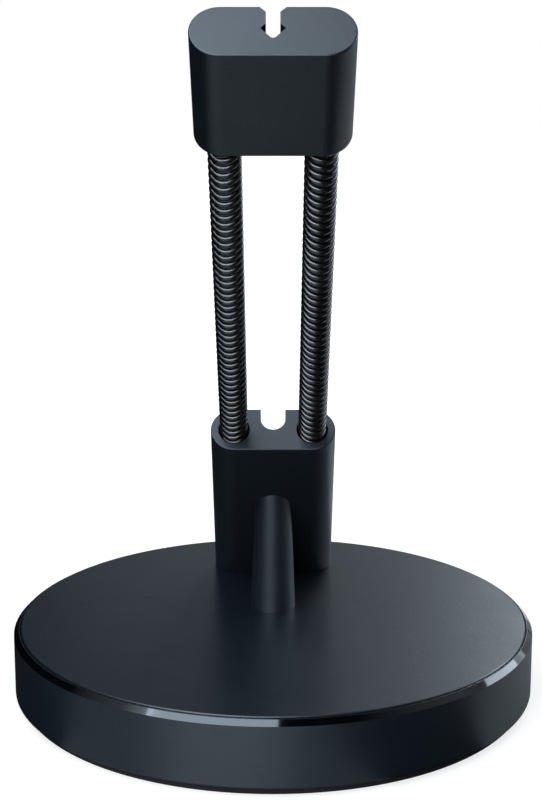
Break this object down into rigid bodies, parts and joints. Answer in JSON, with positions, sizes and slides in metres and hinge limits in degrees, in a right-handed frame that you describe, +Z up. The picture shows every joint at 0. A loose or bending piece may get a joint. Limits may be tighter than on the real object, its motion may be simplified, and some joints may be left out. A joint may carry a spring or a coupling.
{
  "type": "mouse bungee",
  "caption": "Desk stand that holds a mouse cable off the desk: weighted round base, leaning stem with a cable groove, and a slotted cable head on a pair of coil springs.",
  "frame": {"origin": "middle of the foot pad's underside, on the desk", "axes": "+Z up, -Y forwards, the way the arm leans, +X to the right seen from the front"},
  "size_m": [0.095, 0.133, 0.1286],
  "materials": {
    "housing_plastic": "matt moulded housing with a gloss cut chamfer",
    "plate_plastic": "fine matt grain",
    "inner_plastic": "plain moulded",
    "stem_plastic": "fine matt grain",
    "head_plastic": "fine matt grain",
    "spring_steel": "black coated spring wire, semi-gloss",
    "ballast_steel": "plain steel",
    "screw_steel": "zinc plated",
    "anchor_steel": "turned steel",
    "foot_rubber": "matt rubber"
  },
  "bodies": {
    "stand": {"base_housing": "housing_plastic", "top_plate": "plate_plastic", "ballast_disc": "ballast_steel", "bottom_plate": "inner_plastic", "foot_pad": "foot_rubber", "stem": "stem_plastic", "stem_screws": "screw_steel", "bottom_plate_screws": "screw_steel", "lower_left_anchor": "anchor_steel", "lower_right_anchor": "anchor_steel"},
    "arm": {"left_spring": "spring_steel", "right_spring": "spring_steel"},
    "head": {"cable_head": "head_plastic", "upper_left_anchor": "anchor_steel", "upper_right_anchor": "anchor_steel"}
  },
  "joints": [
    {"name": "arm_bend", "type": "hinge", "parent": "stand", "child": "arm", "pos_m": [0, -0.02218, 0.06625], "axis": [1, 0, 0], "range_deg": [-30, 30], "stiffness_Nm_per_rad": 0.25, "deforming": ["left_spring", "right_spring"]},
    {"name": "arm_sway", "type": "slide", "parent": "arm", "child": "head", "axis": [1, 0, 0], "range_m": [-0.008, 0.008], "stiffness_N_per_m": 150, "deforming": ["left_spring", "right_spring"]}
  ]
}
